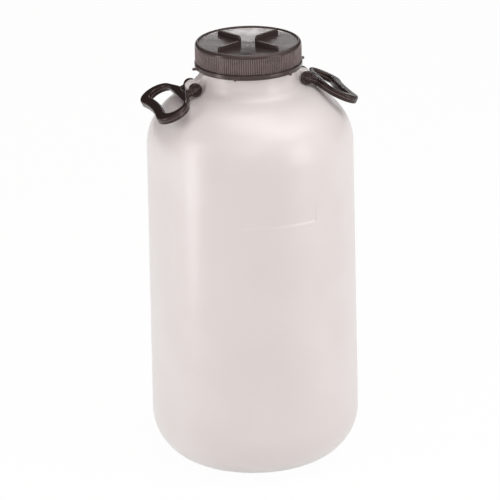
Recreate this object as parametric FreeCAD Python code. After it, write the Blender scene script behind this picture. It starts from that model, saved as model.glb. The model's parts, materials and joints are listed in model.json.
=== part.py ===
"""Fifty-litre wide-mouth plastic barrel bottle with a screw cap and two swinging carry handles.

Units are millimetres and degrees. +Z is up and the origin is the middle of the flat base.
The two handles lie along X, and the front of the bottle, with its label recess, faces -Y.
"""
import FreeCAD, Part
import os
from math import atan2, cos, pi, radians, sin, sqrt, tan

Vector = FreeCAD.Vector
UP = Vector(0, 0, 1)
MIDDLE = Vector(0, 0, 0)

# ---- blow-moulded body -------------------------------------------------------------------
wall_radius = 168.0          # wall radius where the shoulder starts
foot_flare = 2.0             # how much wider the wall is just above the rounded base edge
base_edge_radius = 85.0      # large round between base and wall
shoulder_height = 541.0      # end of the straight wall
shoulder_radius = 82.0       # first round of the shoulder
shoulder_turn = 37.0         # angle that the first round sweeps
crown_radius = 112.0         # wider second round of the shoulder
crown_slope = 20.0           # slope of the cone that ends the shoulder, from level
neck_fillet = 22.0           # hollow round between cone and neck
neck_height = 34.86          # from where cone and neck would meet to the lower edge of the cap
neck_step = 3.3              # the bare neck is this much narrower than the mouth in the cap

# ---- label recess on the front -----------------------------------------------------------
label_half_angle = 21.3      # half the arc that the recess spans
label_drop = 60.0            # from the end of the straight wall down to the recess
label_height = 33.0
label_depth = 0.9            # at its bottom edge; the recess runs out to nothing at its top

# ---- screw cap ---------------------------------------------------------------------------
cap_height = 41.3            # from the lower edge to the rim
cap_radius = 86.5            # over the grip ribs
cap_wall = 3.4               # skirt thickness inside the rib roots
rib_count = 150
rib_depth = 1.0
edge_drop = 5.8              # height of the rounded top edge
edge_inset = 3.7             # how far that edge comes in
edge_bulge = 0.9             # how far it swells past a straight chamfer
rim_land = 1.8               # flat ring on top of the rim
dish_lip = 2.0               # drop from the rim to the outer edge of the dish
dish_depth = 7.5             # drop from the rim to the middle of the dish
dish_plate = 4.0             # thickness of the dish at its middle
collar_height = 7.6          # plain band along the lower edge
collar_stand = 1.1           # how far the band stands out past the ribs
collar_groove = 1.2          # height of the groove over the band
groove_depth = 0.8
collar_chamfer = 0.8
gate_radius = 4.0            # moulding gate in the middle of the dish
gate_height = 0.6

fin_count = 4
fin_turn = 28.6              # direction of the first fin
fin_inner = 17.0             # radius where a fin starts
fin_margin = 13.0            # from its outer end to the edge of the dish
fin_thickness = 3.6
fin_stand = 4.4              # how far a fin rises over the rim
fin_inner_round = 7.0
fin_outer_round = 5.0

nub_count = 6
nub_length = 5.8             # how far a peg stands out of its pad
nub_radius = 2.3
nub_rise = 2.6               # peg axis over the lower edge of the cap
pad_width = 14.0             # raised pad behind each peg
pad_stand = 1.2              # how far the pad stands out past the band

neck_clearance = 0.3         # between the mouth of the bottle and the cap
mouth_overlap = 1.5          # the mouth widens this far above the lower edge of the cap

# ---- lugs and swinging handles -----------------------------------------------------------
pivot_offset = 16.3          # from the neck out to a handle's pivot line
rest_slope = 25.4            # handle below level when it rests on its stop
lug_width = 21.0
lug_radius = 10.5            # knuckle around the pivot
web_rise = 10.0              # the web climbs this far up the neck from the knuckle's top
web_run = 12.0               # and starts its climb this far out from the neck
lug_clearance = 0.4          # each side, between lug and arm
pin_radius = 5.0
pin_clearance = 0.05
pin_length = 6.0             # from the inner face of the arm
pin_end_gap = 1.0            # between the end of a pin and the bottom of its socket
stop_gap = 0.3               # between the resting handle and its stop
stop_reach = 23.0            # outer end of the stop, from the pivot
stop_inset = 2.0             # each side, the stop is narrower than the lug
stop_height = 12.0           # sunk into the shoulder below

arm_thickness = 8.0
knob_radius = 11.0
knob_gap = 1.4               # between a knob and the cone of the shoulder
knob_groove_inner = 5.0      # ring-shaped groove in a knob's outer face
knob_groove_outer = 8.6
knob_groove_depth = 1.4

grip_depth = 12.6            # handle thickness, square to its plane
grip_reach = 76.2            # pivot to the middle of the grip's outer side
grip_dent = 214.0            # radius of the hollow in the grip's outer side
grip_bar = 16.5              # grip width in its middle
handle_half = 74.7           # half the handle's width
handle_corner = 28.3         # outer corner radius
grip_side = 14.8             # width of the handle beside the hand opening
opening_corner = 16.9
back_edge = 16.0             # pivot to the handle's near side
back_flat = 25.2             # half the straight stretch of that side
handle_edge_round = 2.0

weld = 1.0                   # pieces of one solid, and cutters, run this far past each other

# ---- worked-out places -------------------------------------------------------------------
foot_radius = wall_radius + foot_flare
label_bottom = shoulder_height - label_drop - label_height
rib_root = cap_radius - rib_depth
bore_radius = rib_root - cap_wall
mouth_radius = bore_radius - neck_clearance
neck_radius = mouth_radius - neck_step

first_turn = radians(shoulder_turn)
cone_slope = radians(crown_slope)
crown_center_x = wall_radius - shoulder_radius + (shoulder_radius - crown_radius) * cos(first_turn)
crown_center_z = shoulder_height + (shoulder_radius - crown_radius) * sin(first_turn)
crest_x = crown_center_x + crown_radius * sin(cone_slope)
crest_z = crown_center_z + crown_radius * cos(cone_slope)
corner_height = crest_z + (crest_x - neck_radius) * tan(cone_slope)

cap_bottom = corner_height + neck_height
cap_rim = cap_bottom + cap_height
edge_start = cap_rim - edge_drop
collar_top = cap_bottom + collar_height
rib_bottom = collar_top + collar_groove
dish_radius = cap_radius - edge_inset - rim_land
plate_under = cap_rim - dish_depth - dish_plate
fin_outer = dish_radius - fin_margin
pad_face = cap_radius + collar_stand + pad_stand
nub_reach = pad_face + nub_length

pivot_radius = neck_radius + pivot_offset
cone_at_pivot = corner_height - pivot_offset * tan(cone_slope)
pivot_height = cone_at_pivot + (knob_radius + knob_gap) / cos(cone_slope)
socket_depth = pin_length - lug_clearance + pin_end_gap
stop_width = lug_width - 2 * stop_inset
opening_half = handle_half - grip_side
grip_half = grip_depth / 2
arm_inside = lug_width / 2 + lug_clearance
arm_outside = arm_inside + arm_thickness


def point(x, z):
    return Vector(x, 0, z)


def line(a, b):
    return Part.LineSegment(a, b).toShape()


def arc(a, middle, b):
    return Part.Arc(a, middle, b).toShape()


def round_edge(center, radius, start, end):
    """Arc in the XZ plane around center, from one direction to another, in degrees."""
    def at(angle):
        return center + Vector(radius * cos(radians(angle)), 0, radius * sin(radians(angle)))
    return arc(at(start), at((start + end) / 2), at(end)), at(end)


def turned(edges):
    """Solid of revolution about Z from a closed outline in the XZ plane."""
    return Part.Face(Part.Wire(edges)).revolve(MIDDLE, UP, 360)


def closed(points):
    return Part.Face(Part.makePolygon(points + points[:1]))


def slab(face, direction, thickness):
    """Extrude a face by thickness, half to each side of where it lies."""
    face = face.copy()
    face.translate(direction * (-thickness / 2))
    return face.extrude(direction * thickness)


def around(shape, count, first=0.0):
    copies = []
    for index in range(count):
        copy = shape.copy()
        copy.rotate(MIDDLE, UP, first + index * 360.0 / count)
        copies.append(copy)
    return copies


def single(shape):
    """The one solid of a finished piece."""
    shape = shape.removeSplitter()
    if len(shape.Solids) != 1:
        raise RuntimeError("a piece came out as %d solids" % len(shape.Solids))
    return shape.Solids[0]


# ---- body --------------------------------------------------------------------------------
def wall_radius_at(height):
    share = (height - base_edge_radius) / (shoulder_height - base_edge_radius)
    return foot_radius + (wall_radius - foot_radius) * share


def shoulder_edges():
    """Two rounds, a cone and the hollow round that runs into the neck."""
    first_center = point(wall_radius - shoulder_radius, shoulder_height)
    first = round_edge(first_center, shoulder_radius, 0, shoulder_turn)[0]
    crown_center = point(crown_center_x, crown_center_z)
    crown, crest = round_edge(crown_center, crown_radius, shoulder_turn, 90 - crown_slope)
    setback = neck_fillet * tan(radians(90 - crown_slope) / 2)
    fillet_center = point(neck_radius + neck_fillet, corner_height + setback)
    fillet, neck_start = round_edge(fillet_center, neck_fillet, -90 - crown_slope, -180)
    cone_end = fillet.Vertexes[0].Point
    return [first, crown, line(crest, cone_end), fillet], neck_start


def body():
    base_center = point(foot_radius - base_edge_radius, base_edge_radius)
    base_round, wall_start = round_edge(base_center, base_edge_radius, -90, 0)
    wall_end = point(wall_radius, shoulder_height)
    shoulder, neck_start = shoulder_edges()
    mouth_start = cap_bottom + mouth_overlap
    flare_end = mouth_start + mouth_radius - neck_radius
    stops = [neck_start, point(neck_radius, mouth_start), point(mouth_radius, flare_end),
             point(mouth_radius, plate_under), point(0, plate_under), point(0, 0),
             point(foot_radius - base_edge_radius, 0)]
    neck = [line(a, b) for a, b in zip(stops, stops[1:])]
    return turned([base_round, line(wall_start, wall_end)] + shoulder + neck)


def label_recess():
    """Wedge that cuts the recess: deepest at its lower edge, nothing at its upper edge."""
    low, high = wall_radius_at(label_bottom), wall_radius_at(label_bottom + label_height)
    outline = closed([point(low - label_depth, label_bottom), point(low + weld, label_bottom),
                      point(high + weld, label_bottom + label_height),
                      point(high, label_bottom + label_height)])
    wedge = outline.revolve(MIDDLE, UP, 2 * label_half_angle)
    wedge.rotate(MIDDLE, UP, -90 - label_half_angle)
    return wedge


def in_handle_plane(reach, height):
    """Point at a distance from the pivot along the resting handle and square to it."""
    slope = radians(rest_slope)
    return point(pivot_radius + reach * cos(slope) + height * sin(slope),
                 pivot_height - reach * sin(slope) + height * cos(slope))


def lug():
    """Knuckle, the web that joins it to the neck and shoulder, and the stop under the handle."""
    inside = neck_radius - neck_fillet / 2
    low = pivot_height - 2 * lug_radius - neck_fillet / 2
    top = pivot_height + lug_radius
    web = closed([point(inside, low), point(pivot_radius + lug_radius, low),
                  point(pivot_radius + lug_radius, pivot_height),
                  point(pivot_radius, pivot_height), point(pivot_radius, top),
                  point(neck_radius + web_run, top), point(neck_radius, top + web_rise),
                  point(inside, top + web_rise)])
    sideways = Vector(0, 1, 0)
    knuckle = Part.makeCylinder(lug_radius, lug_width,
                                Vector(pivot_radius, -lug_width / 2, pivot_height), sideways)
    under = -grip_half - stop_gap
    foot = closed([in_handle_plane(lug_radius / 2, under), in_handle_plane(stop_reach, under),
                   in_handle_plane(stop_reach, under - stop_height),
                   in_handle_plane(lug_radius / 2, under - stop_height)])
    return slab(web, sideways, lug_width).fuse([knuckle, slab(foot, sideways, stop_width)])


def sockets():
    """Blind holes in both sides of a lug for the handle's pins."""
    holes = []
    for side in (-1, 1):
        start = Vector(pivot_radius, side * (lug_width / 2 + weld), pivot_height)
        holes.append(Part.makeCylinder(pin_radius + pin_clearance, socket_depth + weld, start,
                                       Vector(0, -side, 0)))
    return holes


def bottle():
    lugs = around(lug(), 2)
    holes = [copy for hole in sockets() for copy in around(hole, 2)]
    return single(body().cut(label_recess()).fuse(lugs).cut(holes))


# ---- cap ---------------------------------------------------------------------------------
def cap_shell():
    groove_radius = rib_root - groove_depth
    collar_radius = cap_radius + collar_stand
    rim_outside = point(cap_radius - edge_inset, cap_rim)
    edge_foot = point(cap_radius, edge_start)
    middle = (rim_outside + edge_foot) * 0.5
    outward = Vector(edge_drop, 0, edge_inset)
    bulge = middle + outward * (edge_bulge / outward.Length)
    skirt = [point(bore_radius, cap_bottom), point(collar_radius - collar_chamfer, cap_bottom),
             point(collar_radius, cap_bottom + collar_chamfer),
             point(collar_radius, collar_top - collar_chamfer),
             point(collar_radius - collar_chamfer, collar_top), point(groove_radius, collar_top),
             point(groove_radius, edge_start), edge_foot]
    top = [rim_outside, point(dish_radius, cap_rim), point(dish_radius, cap_rim - dish_lip),
           point(0, cap_rim - dish_depth), point(0, plate_under), point(bore_radius, plate_under),
           point(bore_radius, cap_bottom)]
    edges = [line(a, b) for a, b in zip(skirt, skirt[1:])]
    edges.append(arc(edge_foot, bulge, rim_outside))
    edges += [line(a, b) for a, b in zip(top, top[1:])]
    return turned(edges)


def grip_ribs():
    """Ring with a pointed rib at every step around its outside."""
    points = []
    for index in range(2 * rib_count):
        angle = pi * index / rib_count
        radius = cap_radius if index % 2 == 0 else rib_root
        points.append(Vector(radius * cos(angle), radius * sin(angle), rib_bottom))
    ring = closed(points).extrude(UP * (edge_start - rib_bottom))
    core = Part.makeCylinder(rib_root - groove_depth - cap_wall / 2, edge_start - rib_bottom + 2 * weld,
                             Vector(0, 0, rib_bottom - weld))
    return ring.cut(core)


def fin():
    """Upright grip fin in the dish, standing in the XZ plane."""
    top = cap_rim + fin_stand
    foot = plate_under + dish_plate / 2
    outer = fin_outer - fin_outer_round
    inner = fin_inner + fin_inner_round
    outer_round, outer_end = round_edge(point(outer, top - fin_outer_round), fin_outer_round, 90, 0)
    inner_round, inner_end = round_edge(point(inner, top - fin_inner_round), fin_inner_round, 180, 90)
    edges = [inner_round, line(inner_end, point(outer, top)), outer_round,
             line(outer_end, point(fin_outer, foot)), line(point(fin_outer, foot), point(fin_inner, foot)),
             line(point(fin_inner, foot), point(fin_inner, top - fin_inner_round))]
    return slab(Part.Face(Part.Wire(edges)), Vector(0, 1, 0), fin_thickness)


def nub():
    """Raised pad on the lower band of the cap, with a short peg on it."""
    inside = rib_root - groove_depth
    pad = Part.makeBox(pad_face - inside, pad_width, collar_height - 2 * collar_chamfer,
                       Vector(inside, -pad_width / 2, cap_bottom + collar_chamfer))
    outward = Vector(1, 0, 0)
    start = Vector(inside, 0, cap_bottom + nub_rise)
    peg = Part.makeCylinder(nub_radius, nub_reach - inside - nub_radius / 2, start, outward)
    tip = Part.makeCone(nub_radius, nub_radius / 2, nub_radius / 2,
                        Vector(nub_reach - nub_radius / 2, 0, cap_bottom + nub_rise), outward)
    return pad.fuse([peg, tip])


def cap():
    gate = Part.makeCylinder(gate_radius, dish_plate / 2 + gate_height,
                             Vector(0, 0, cap_rim - dish_depth - dish_plate / 2))
    pieces = [grip_ribs(), gate] + around(fin(), fin_count, fin_turn) + around(nub(), nub_count)
    return single(cap_shell().fuse(pieces))


# ---- handles -----------------------------------------------------------------------------
def tangent_point(outside, center, radius):
    """Where a line from a point outside a circle touches it, on the right seen from the point."""
    offset = center - outside
    reach = offset.Length
    swing = atan2(radius, sqrt(reach ** 2 - radius ** 2))
    heading = atan2(offset.y, offset.x) - swing
    length = sqrt(reach ** 2 - radius ** 2)
    return outside + Vector(length * cos(heading), length * sin(heading), 0)


def mirrored(p):
    return Vector(p.x, -p.y, p.z)


def arc_about(center, start, end, radius):
    middle = (start + end) * 0.5 - center
    return arc(start, center + middle * (radius / middle.Length), end)


def handle_outline():
    """Outer outline: straight near side, slanting flanks, round corners and a hollow grip side."""
    dent_center = Vector(grip_reach + grip_dent, 0, 0)
    corner_side = handle_half - handle_corner
    corner = Vector(dent_center.x - sqrt((grip_dent + handle_corner) ** 2 - corner_side ** 2),
                    corner_side, 0)
    toward = (dent_center - corner) * (handle_corner / (dent_center - corner).Length)
    dent_end = corner + toward
    back_end = Vector(back_edge, back_flat, 0)
    flank_end = tangent_point(mirrored(back_end), mirrored(corner), handle_corner)
    flank_end = mirrored(flank_end)
    swell = corner + Vector(0, handle_corner, 0)
    half = [line(back_end, flank_end), arc_about(corner, flank_end, swell, handle_corner),
            arc_about(corner, swell, dent_end, handle_corner)]
    other = [line(mirrored(back_end), mirrored(flank_end)),
             arc_about(mirrored(corner), mirrored(flank_end), mirrored(swell), handle_corner),
             arc_about(mirrored(corner), mirrored(swell), mirrored(dent_end), handle_corner)]
    dent = arc(dent_end, Vector(grip_reach, 0, 0), mirrored(dent_end))
    back = line(mirrored(back_end), back_end)
    return Part.Face(Part.Wire(Part.__sortEdges__(half + [dent] + other + [back])))


def opening_outline():
    """Hand opening: straight near side, round ends and a grip side that swells inward."""
    dent_center = Vector(grip_reach + grip_dent, 0, 0)
    swell_radius = grip_dent + grip_bar
    corner_side = opening_half - opening_corner
    corner = Vector(dent_center.x - sqrt((swell_radius + opening_corner) ** 2 - corner_side ** 2),
                    corner_side, 0)
    toward = (dent_center - corner) * (opening_corner / (dent_center - corner).Length)
    swell_end = corner + toward
    back_end = corner - Vector(opening_corner, 0, 0)
    side = corner + Vector(0, opening_corner, 0)
    half = [arc_about(corner, back_end, side, opening_corner),
            arc_about(corner, side, swell_end, opening_corner)]
    other = [arc_about(mirrored(corner), mirrored(back_end), mirrored(side), opening_corner),
             arc_about(mirrored(corner), mirrored(side), mirrored(swell_end), opening_corner)]
    swell = arc(swell_end, Vector(grip_reach - grip_bar, 0, 0), mirrored(swell_end))
    back = line(mirrored(back_end), back_end)
    return Part.Face(Part.Wire(Part.__sortEdges__(half + [swell] + other + [back])))


def grip_ring():
    ring = slab(handle_outline().cut(opening_outline()), UP, grip_depth)
    rims = [edge for edge in ring.Edges if abs(abs(edge.CenterOfMass.z) - grip_half) < 0.01]
    return ring.makeFillet(handle_edge_round, rims)


def arm(side):
    """Cheek beside the lug: a round knob with a grooved face, a link to the ring and a pin."""
    outward = Vector(0, side, 0)
    inner = Vector(0, side * arm_inside, 0)
    outer = Vector(0, side * arm_outside, 0)
    knob = Part.makeCylinder(knob_radius, arm_thickness, inner, outward)
    link_end = back_edge + handle_edge_round + weld
    link = Part.makeBox(link_end, arm_thickness, grip_depth - handle_edge_round,
                        Vector(0, min(inner.y, outer.y), -grip_half + handle_edge_round / 2))
    pin = Part.makeCylinder(pin_radius, pin_length + weld, inner + outward * weld, -outward)
    groove = Part.makeCylinder(knob_groove_outer, knob_groove_depth, outer, -outward)
    groove = groove.cut(Part.makeCylinder(knob_groove_inner, knob_groove_depth, outer, -outward))
    return knob.fuse([link, pin]).cut(groove)


def handle(turn):
    """One handle, resting on its stop, on the side of the bottle that turn points to."""
    shape = single(grip_ring().fuse([arm(-1), arm(1)]))
    shape.rotate(MIDDLE, Vector(0, 1, 0), rest_slope)
    shape.translate(Vector(pivot_radius, 0, pivot_height))
    shape.rotate(MIDDLE, UP, turn)
    return shape


# ---- the nodes ---------------------------------------------------------------------------
nodes = {
    "bottle": bottle(),
    "cap": cap(),
    "handle_left": handle(180),
    "handle_right": handle(0),
}

os.makedirs("parts", exist_ok=True)
for name, shape in nodes.items():
    shape.exportStep("parts/%s.step" % name)
    box = shape.BoundBox
    print("%-13s valid %s  volume %.1f cm3  x %.1f..%.1f  y %.1f..%.1f  z %.1f..%.1f" % (
        name, shape.isValid(), shape.Volume / 1000, box.XMin, box.XMax, box.YMin, box.YMax,
        box.ZMin, box.ZMax))
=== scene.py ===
"""Looks of a fifty-litre wide-mouth plastic barrel bottle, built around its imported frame.

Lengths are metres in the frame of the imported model: +Z is up, the handles lie along X and
the front of the bottle, with its shallow recess, faces -Y.
"""

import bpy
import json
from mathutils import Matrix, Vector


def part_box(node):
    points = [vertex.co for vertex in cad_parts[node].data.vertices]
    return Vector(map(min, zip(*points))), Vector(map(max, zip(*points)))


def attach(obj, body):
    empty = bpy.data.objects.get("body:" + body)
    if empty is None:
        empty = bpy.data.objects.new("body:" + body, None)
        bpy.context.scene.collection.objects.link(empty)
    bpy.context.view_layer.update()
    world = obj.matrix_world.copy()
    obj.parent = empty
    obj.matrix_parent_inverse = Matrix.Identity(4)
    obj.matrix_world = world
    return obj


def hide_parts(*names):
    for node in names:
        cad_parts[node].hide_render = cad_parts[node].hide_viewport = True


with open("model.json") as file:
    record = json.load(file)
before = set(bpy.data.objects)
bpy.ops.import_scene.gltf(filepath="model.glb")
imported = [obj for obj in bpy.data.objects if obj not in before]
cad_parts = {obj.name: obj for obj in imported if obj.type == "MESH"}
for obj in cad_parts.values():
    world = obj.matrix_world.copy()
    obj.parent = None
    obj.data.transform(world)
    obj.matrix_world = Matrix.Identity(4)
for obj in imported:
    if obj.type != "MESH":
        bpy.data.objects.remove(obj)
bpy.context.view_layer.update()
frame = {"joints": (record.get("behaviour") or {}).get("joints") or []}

import json
from math import atan2, cos, pi, radians, sin, sqrt, tan

import bmesh
import bpy
import numpy as np
import openvdb
from mathutils import Matrix, Vector

bl_info = {
    "name": "Wide-mouth barrel bottle",
    "version": (1, 0, 0),
    "blender": (4, 5, 0),
    "location": "3D View > Sidebar > Bottle",
    "description": "Builds a milky barrel bottle with a ribbed screw cap and two carry handles",
    "category": "Add Mesh",
}

MM = 0.001
WHITE = (1.0, 1.0, 1.0)
WARM_GLOSS = (1.0, 0.82, 0.78)     # tint of the gloss on the black plastic
ROSY_LIGHT = (1.0, 0.78, 0.79)     # colour of the soft light in front
SHARP = radians(35.0)              # edges that turn more than this stay sharp
WELD = 0.01 * MM                   # points of a turned shell nearer than this become one
FRONT = 1.5 * pi                   # angle about Z of the bottle's front
CAP_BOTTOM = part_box("cap")[0].z
PIVOT = {joint["child"]: Vector(joint["pos_m"]) for joint in frame["joints"]}["handle_right"]

# Each lamp: its name, its setting for brightness, azimuth, elevation, distance, width, height
PANELS = (("panel_left", "left", -96.0, 8.0, 0.95, 0.55, 0.9),
          ("panel_strip", "strip", -80.0, 10.0, 1.1, 0.25, 1.1),
          ("panel_right", "right", 40.0, 14.0, 1.6, 0.7, 1.2),
          ("panel_over", "overhead", 25.0, 62.0, 2.4, 1.2, 1.0),
          ("panel_side", "side", 60.0, 55.0, 2.4, 1.2, 1.0),
          ("panel_beside", "beside", 95.0, 50.0, 2.4, 1.2, 1.0),
          ("panel_top", "top", 0.0, 88.0, 2.4, 1.4, 1.4),
          ("panel_front", "front", -18.0, 40.0, 3.0, 1.6, 1.2),
          ("panel_back", "back", 163.6, 22.0, 3.0, 1.0, 0.5),
          ("panel_glint", "glint", 163.6, 34.0, 3.0, 0.35, 0.3))


# ---- properties ----------------------------------------------------------------------------
def length(name, about, millimetres):
    """A length that a user may change; its default is given in millimetres."""
    return bpy.props.FloatProperty(name=name, description=about, default=millimetres * MM,
                                   min=0.0, precision=4, unit="LENGTH")


def turn(name, about, in_degrees):
    return bpy.props.FloatProperty(name=name, description=about, default=radians(in_degrees),
                                   unit="ROTATION")


def share(name, about, value):
    return bpy.props.FloatProperty(name=name, description=about, default=value, min=0.0,
                                   max=1.0, subtype="FACTOR")


def level(name, about, value):
    """Brightness of a lamp's face or of the room, where 1 shows as white."""
    return bpy.props.FloatProperty(name=name, description=about, default=value, min=0.0)


def count(name, about, value):
    return bpy.props.IntProperty(name=name, description=about, default=value, min=1)


def colour(name, about, value):
    return bpy.props.FloatVectorProperty(name=name, description=about, default=value, size=3,
                                         min=0.0, max=1.0, subtype="COLOR")


def group_of(kind, name, about):
    return bpy.props.PointerProperty(type=kind, name=name, description=about)


class BottleSizes(bpy.types.PropertyGroup):
    wall_radius: length("Wall radius", "Radius where the shoulder starts", 168.0)
    foot_flare: length("Foot flare", "How much wider the wall is above the base edge", 2.0)
    base_round: length("Base round", "Large round between base and wall", 85.0)
    shoulder_height: length("Shoulder height", "End of the straight wall", 541.0)
    shoulder_round: length("Shoulder round", "First round of the shoulder", 82.0)
    shoulder_turn: turn("Shoulder turn", "Angle that the first round sweeps", 37.0)
    crown_round: length("Crown round", "Wider second round of the shoulder", 112.0)
    crown_slope: turn("Crown slope", "Slope of the cone that ends the shoulder", 20.0)
    neck_radius: length("Neck radius", "Bare neck below the cap", 78.5)
    neck_round: length("Neck round", "Hollow round between cone and neck", 22.0)
    mouth_step: length("Mouth step", "How much wider the mouth is inside the cap", 3.3)
    mouth_start: length("Mouth start", "Over the cap's lower edge, where it widens", 1.5)
    mouth_end: length("Mouth end", "Over the cap's lower edge, where it stops", 29.8)
    recess_turn: turn("Recess turn", "Half the arc that the recess spans", 21.3)
    recess_bottom: length("Recess bottom", "Height of the lower edge of the recess", 448.0)
    recess_height: length("Recess height", "From its lower edge to where it runs out", 33.0)
    recess_depth: length("Recess depth", "Depth at its lower edge", 0.9)
    recess_edge: length("Recess edge", "Half the width of the soft edges at its sides", 0.8)
    recess_sill: length("Recess sill", "Half the width of its softer lower edge", 2.6)
    seam_height: length("Seam height", "How far the mould seam stands out", 0.15)
    seam_width: length("Seam width", "Half the width of the mould seam", 1.3)
    columns: count("Columns", "Steps around the body", 160)


class LugSizes(bpy.types.PropertyGroup):
    width: length("Lug width", "Across the lug, between the arms of a handle", 21.0)
    radius: length("Knuckle radius", "Round of the lug about the pivot", 10.5)
    web_rise: length("Web rise", "How far the web climbs up the neck", 10.0)
    web_run: length("Web run", "How far out from the neck it starts to climb", 12.0)
    blend: length("Blend", "Soft run-out between lug and shoulder", 7.0)
    edge_round: length("Edge round", "Round of the lug's edges", 1.6)
    stop_reach: length("Stop reach", "Outer end of the stop, from the pivot", 23.0)
    stop_width: length("Stop width", "Width of the stop under a handle", 17.0)
    stop_height: length("Stop height", "Height of the stop, mostly in the shoulder", 12.0)
    stop_gap: length("Stop gap", "Between a resting handle and its stop", 0.3)
    socket_radius: length("Socket radius", "Blind hole for a handle's pin", 5.05)
    socket_depth: length("Socket depth", "Depth of that hole", 6.6)


class CapSizes(bpy.types.PropertyGroup):
    radius: length("Cap radius", "Over the grip ribs", 86.5)
    height: length("Cap height", "From the lower edge to the rim", 41.3)
    edge_drop: length("Edge drop", "Height of the rounded top edge", 5.8)
    edge_inset: length("Edge inset", "How far that edge comes in", 3.7)
    edge_bulge: length("Edge bulge", "How far it swells past a straight chamfer", 0.9)
    rim_land: length("Rim land", "Flat ring on top of the rim", 1.8)
    dish_lip: length("Dish lip", "Drop from the rim to the edge of the dish", 2.0)
    dish_depth: length("Dish depth", "Drop from the rim to the middle of the dish", 7.5)
    dish_plate: length("Dish plate", "Thickness of the dish in its middle", 4.0)
    wall: length("Wall", "Thickness of the skirt inside the ribs", 3.4)
    rib_count: count("Rib count", "Grip ribs around the skirt", 150)
    rib_depth: length("Rib depth", "How far a rib stands out", 1.0)
    collar_height: length("Collar height", "Plain band along the lower edge", 7.6)
    collar_stand: length("Collar stand", "How far the band stands out past the ribs", 1.1)
    collar_groove: length("Collar groove", "Height of the groove over the band", 1.2)
    fin_count: count("Fin count", "Upright grip fins in the dish", 4)
    fin_turn: turn("Fin turn", "Direction of the first fin", 28.6)
    fin_inner: length("Fin inner", "Radius where a fin starts", 17.0)
    fin_outer: length("Fin outer", "Radius where it ends", 68.0)
    fin_thickness: length("Fin thickness", "Thickness of a fin", 3.6)
    fin_stand: length("Fin stand", "How far a fin rises over the rim", 4.4)
    peg_count: count("Peg count", "Pads with a peg on the lower band", 6)
    peg_reach: length("Peg reach", "Radius to a peg's tip", 94.6)
    peg_radius: length("Peg radius", "Radius of a peg", 2.3)
    peg_rise: length("Peg rise", "Peg over the lower edge of the cap", 2.6)
    pad_width: length("Pad width", "Raised pad behind each peg", 14.0)
    pad_stand: length("Pad stand", "How far the pad stands out past the band", 1.2)
    gate_radius: length("Gate radius", "Moulding gate in the middle of the dish", 4.0)
    gate_height: length("Gate height", "How far the gate stands up", 0.6)
    columns: count("Columns", "Steps around the cap", 180)


class HandleSizes(bpy.types.PropertyGroup):
    slope: turn("Rest slope", "Handle below level when it rests on its stop", 25.4)
    depth: length("Grip depth", "Thickness square to the handle's plane", 12.6)
    reach: length("Reach", "Pivot to the middle of the grip's outer side", 76.2)
    dent: length("Dent", "Radius of the hollow in the grip's outer side", 214.0)
    bar: length("Grip bar", "Width of the grip in its middle", 16.5)
    half_width: length("Half width", "Half the handle's width", 74.7)
    corner: length("Corner", "Outer corner radius", 28.3)
    side: length("Side", "Width of the handle beside the hand opening", 14.8)
    opening_corner: length("Opening corner", "Corner radius of the hand opening", 16.9)
    back_edge: length("Back edge", "Pivot to the handle's near side", 16.0)
    back_flat: length("Back flat", "Half the straight stretch of that side", 25.2)
    edge_round: length("Edge round", "Round of the handle's edges", 3.0)
    arm_gap: length("Arm gap", "Between lug and arm", 0.4)
    arm_thickness: length("Arm thickness", "Thickness of an arm beside the lug", 8.0)
    knob_radius: length("Knob radius", "Round knob around the pivot", 11.0)
    knob_round: length("Knob round", "Round of a knob's edge", 1.8)
    ring_radius: length("Ring radius", "Middle of the ring-shaped groove in a knob", 6.8)
    ring_width: length("Ring width", "Half the width of that groove", 1.7)
    pin_radius: length("Pin radius", "Pin that turns in the lug", 4.9)
    pin_length: length("Pin length", "Length of the pin", 6.0)
    blend: length("Blend", "Soft run-out between arm and grip", 4.0)
    voxel: length("Grid step", "Step of the grid that the handle's surface is drawn from", 0.75)


class FinishSettings(bpy.types.PropertyGroup):
    milky: colour("Milky", "Natural polyethylene of the body", (0.712, 0.716, 0.694))
    milky_deep: colour("Milky shade", "Where the wall is thicker", (0.692, 0.692, 0.670))
    milky_roughness: share("Body roughness", "Roughness of the body", 0.36)
    cap_black: colour("Cap black", "Plastic of the cap", (0.048, 0.039, 0.0365))
    # Also the colour of the painted highlight on the crests of the cap's grip ribs
    cap_worn_and_highlight: colour("Cap worn", "Scuffed edges of the cap", (0.22, 0.185, 0.177))
    cap_roughness: share("Cap roughness", "Roughness of the cap", 0.18)
    handle_black: colour("Handle black", "Plastic of the handles", (0.026, 0.019, 0.0175))
    handle_worn: colour("Handle worn", "Scuffed edges of the handles", (0.16, 0.14, 0.135))
    handle_roughness: share("Handle roughness", "Roughness of the handles", 0.22)


class StudioSettings(bpy.types.PropertyGroup):
    azimuth: turn("Azimuth", "Direction of the camera round the bottle", -16.4)
    elevation: turn("Elevation", "Camera above the horizon", 19.56)
    lean: turn("Lean", "How far the camera is rolled", 1.18)
    distance: length("Distance", "Camera to the point that it looks at", 8000.0)
    look_height: length("Look height", "Height of that point on the axis", 330.0)
    lens: length("Lens", "Focal length", 350.8)
    lamp_height: length("Lamp height", "Height of the point that the lamps face", 360.0)
    room: level("Room light", "Strength of the soft light in front of the bottle", 0.6)
    behind: level("Room behind", "Matt fill light from behind", 0.3)
    left: level("Left", "Brightness of the panel beside the bottle", 0.36)
    strip: level("Strip", "Brightness of the narrow panel on the left", 4.3)
    right: level("Right", "Brightness of the panel in front on the right", 2.35)
    overhead: level("Overhead", "Brightness of the panel over the front", 1.65)
    side: level("Over the side", "Brightness of the panel over the right side", 1.6)
    beside: level("Beside", "Brightness of the panel over the far right", 0.8)
    top: level("Top", "Brightness of the panel straight above", 2.2)
    front: level("Front", "Brightness of the panel over the camera", 0.9)
    back: level("Back", "Brightness of the wide panel behind", 1.0)
    glint: level("Glint", "Brightness of the narrow panel behind", 9.0)


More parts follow.
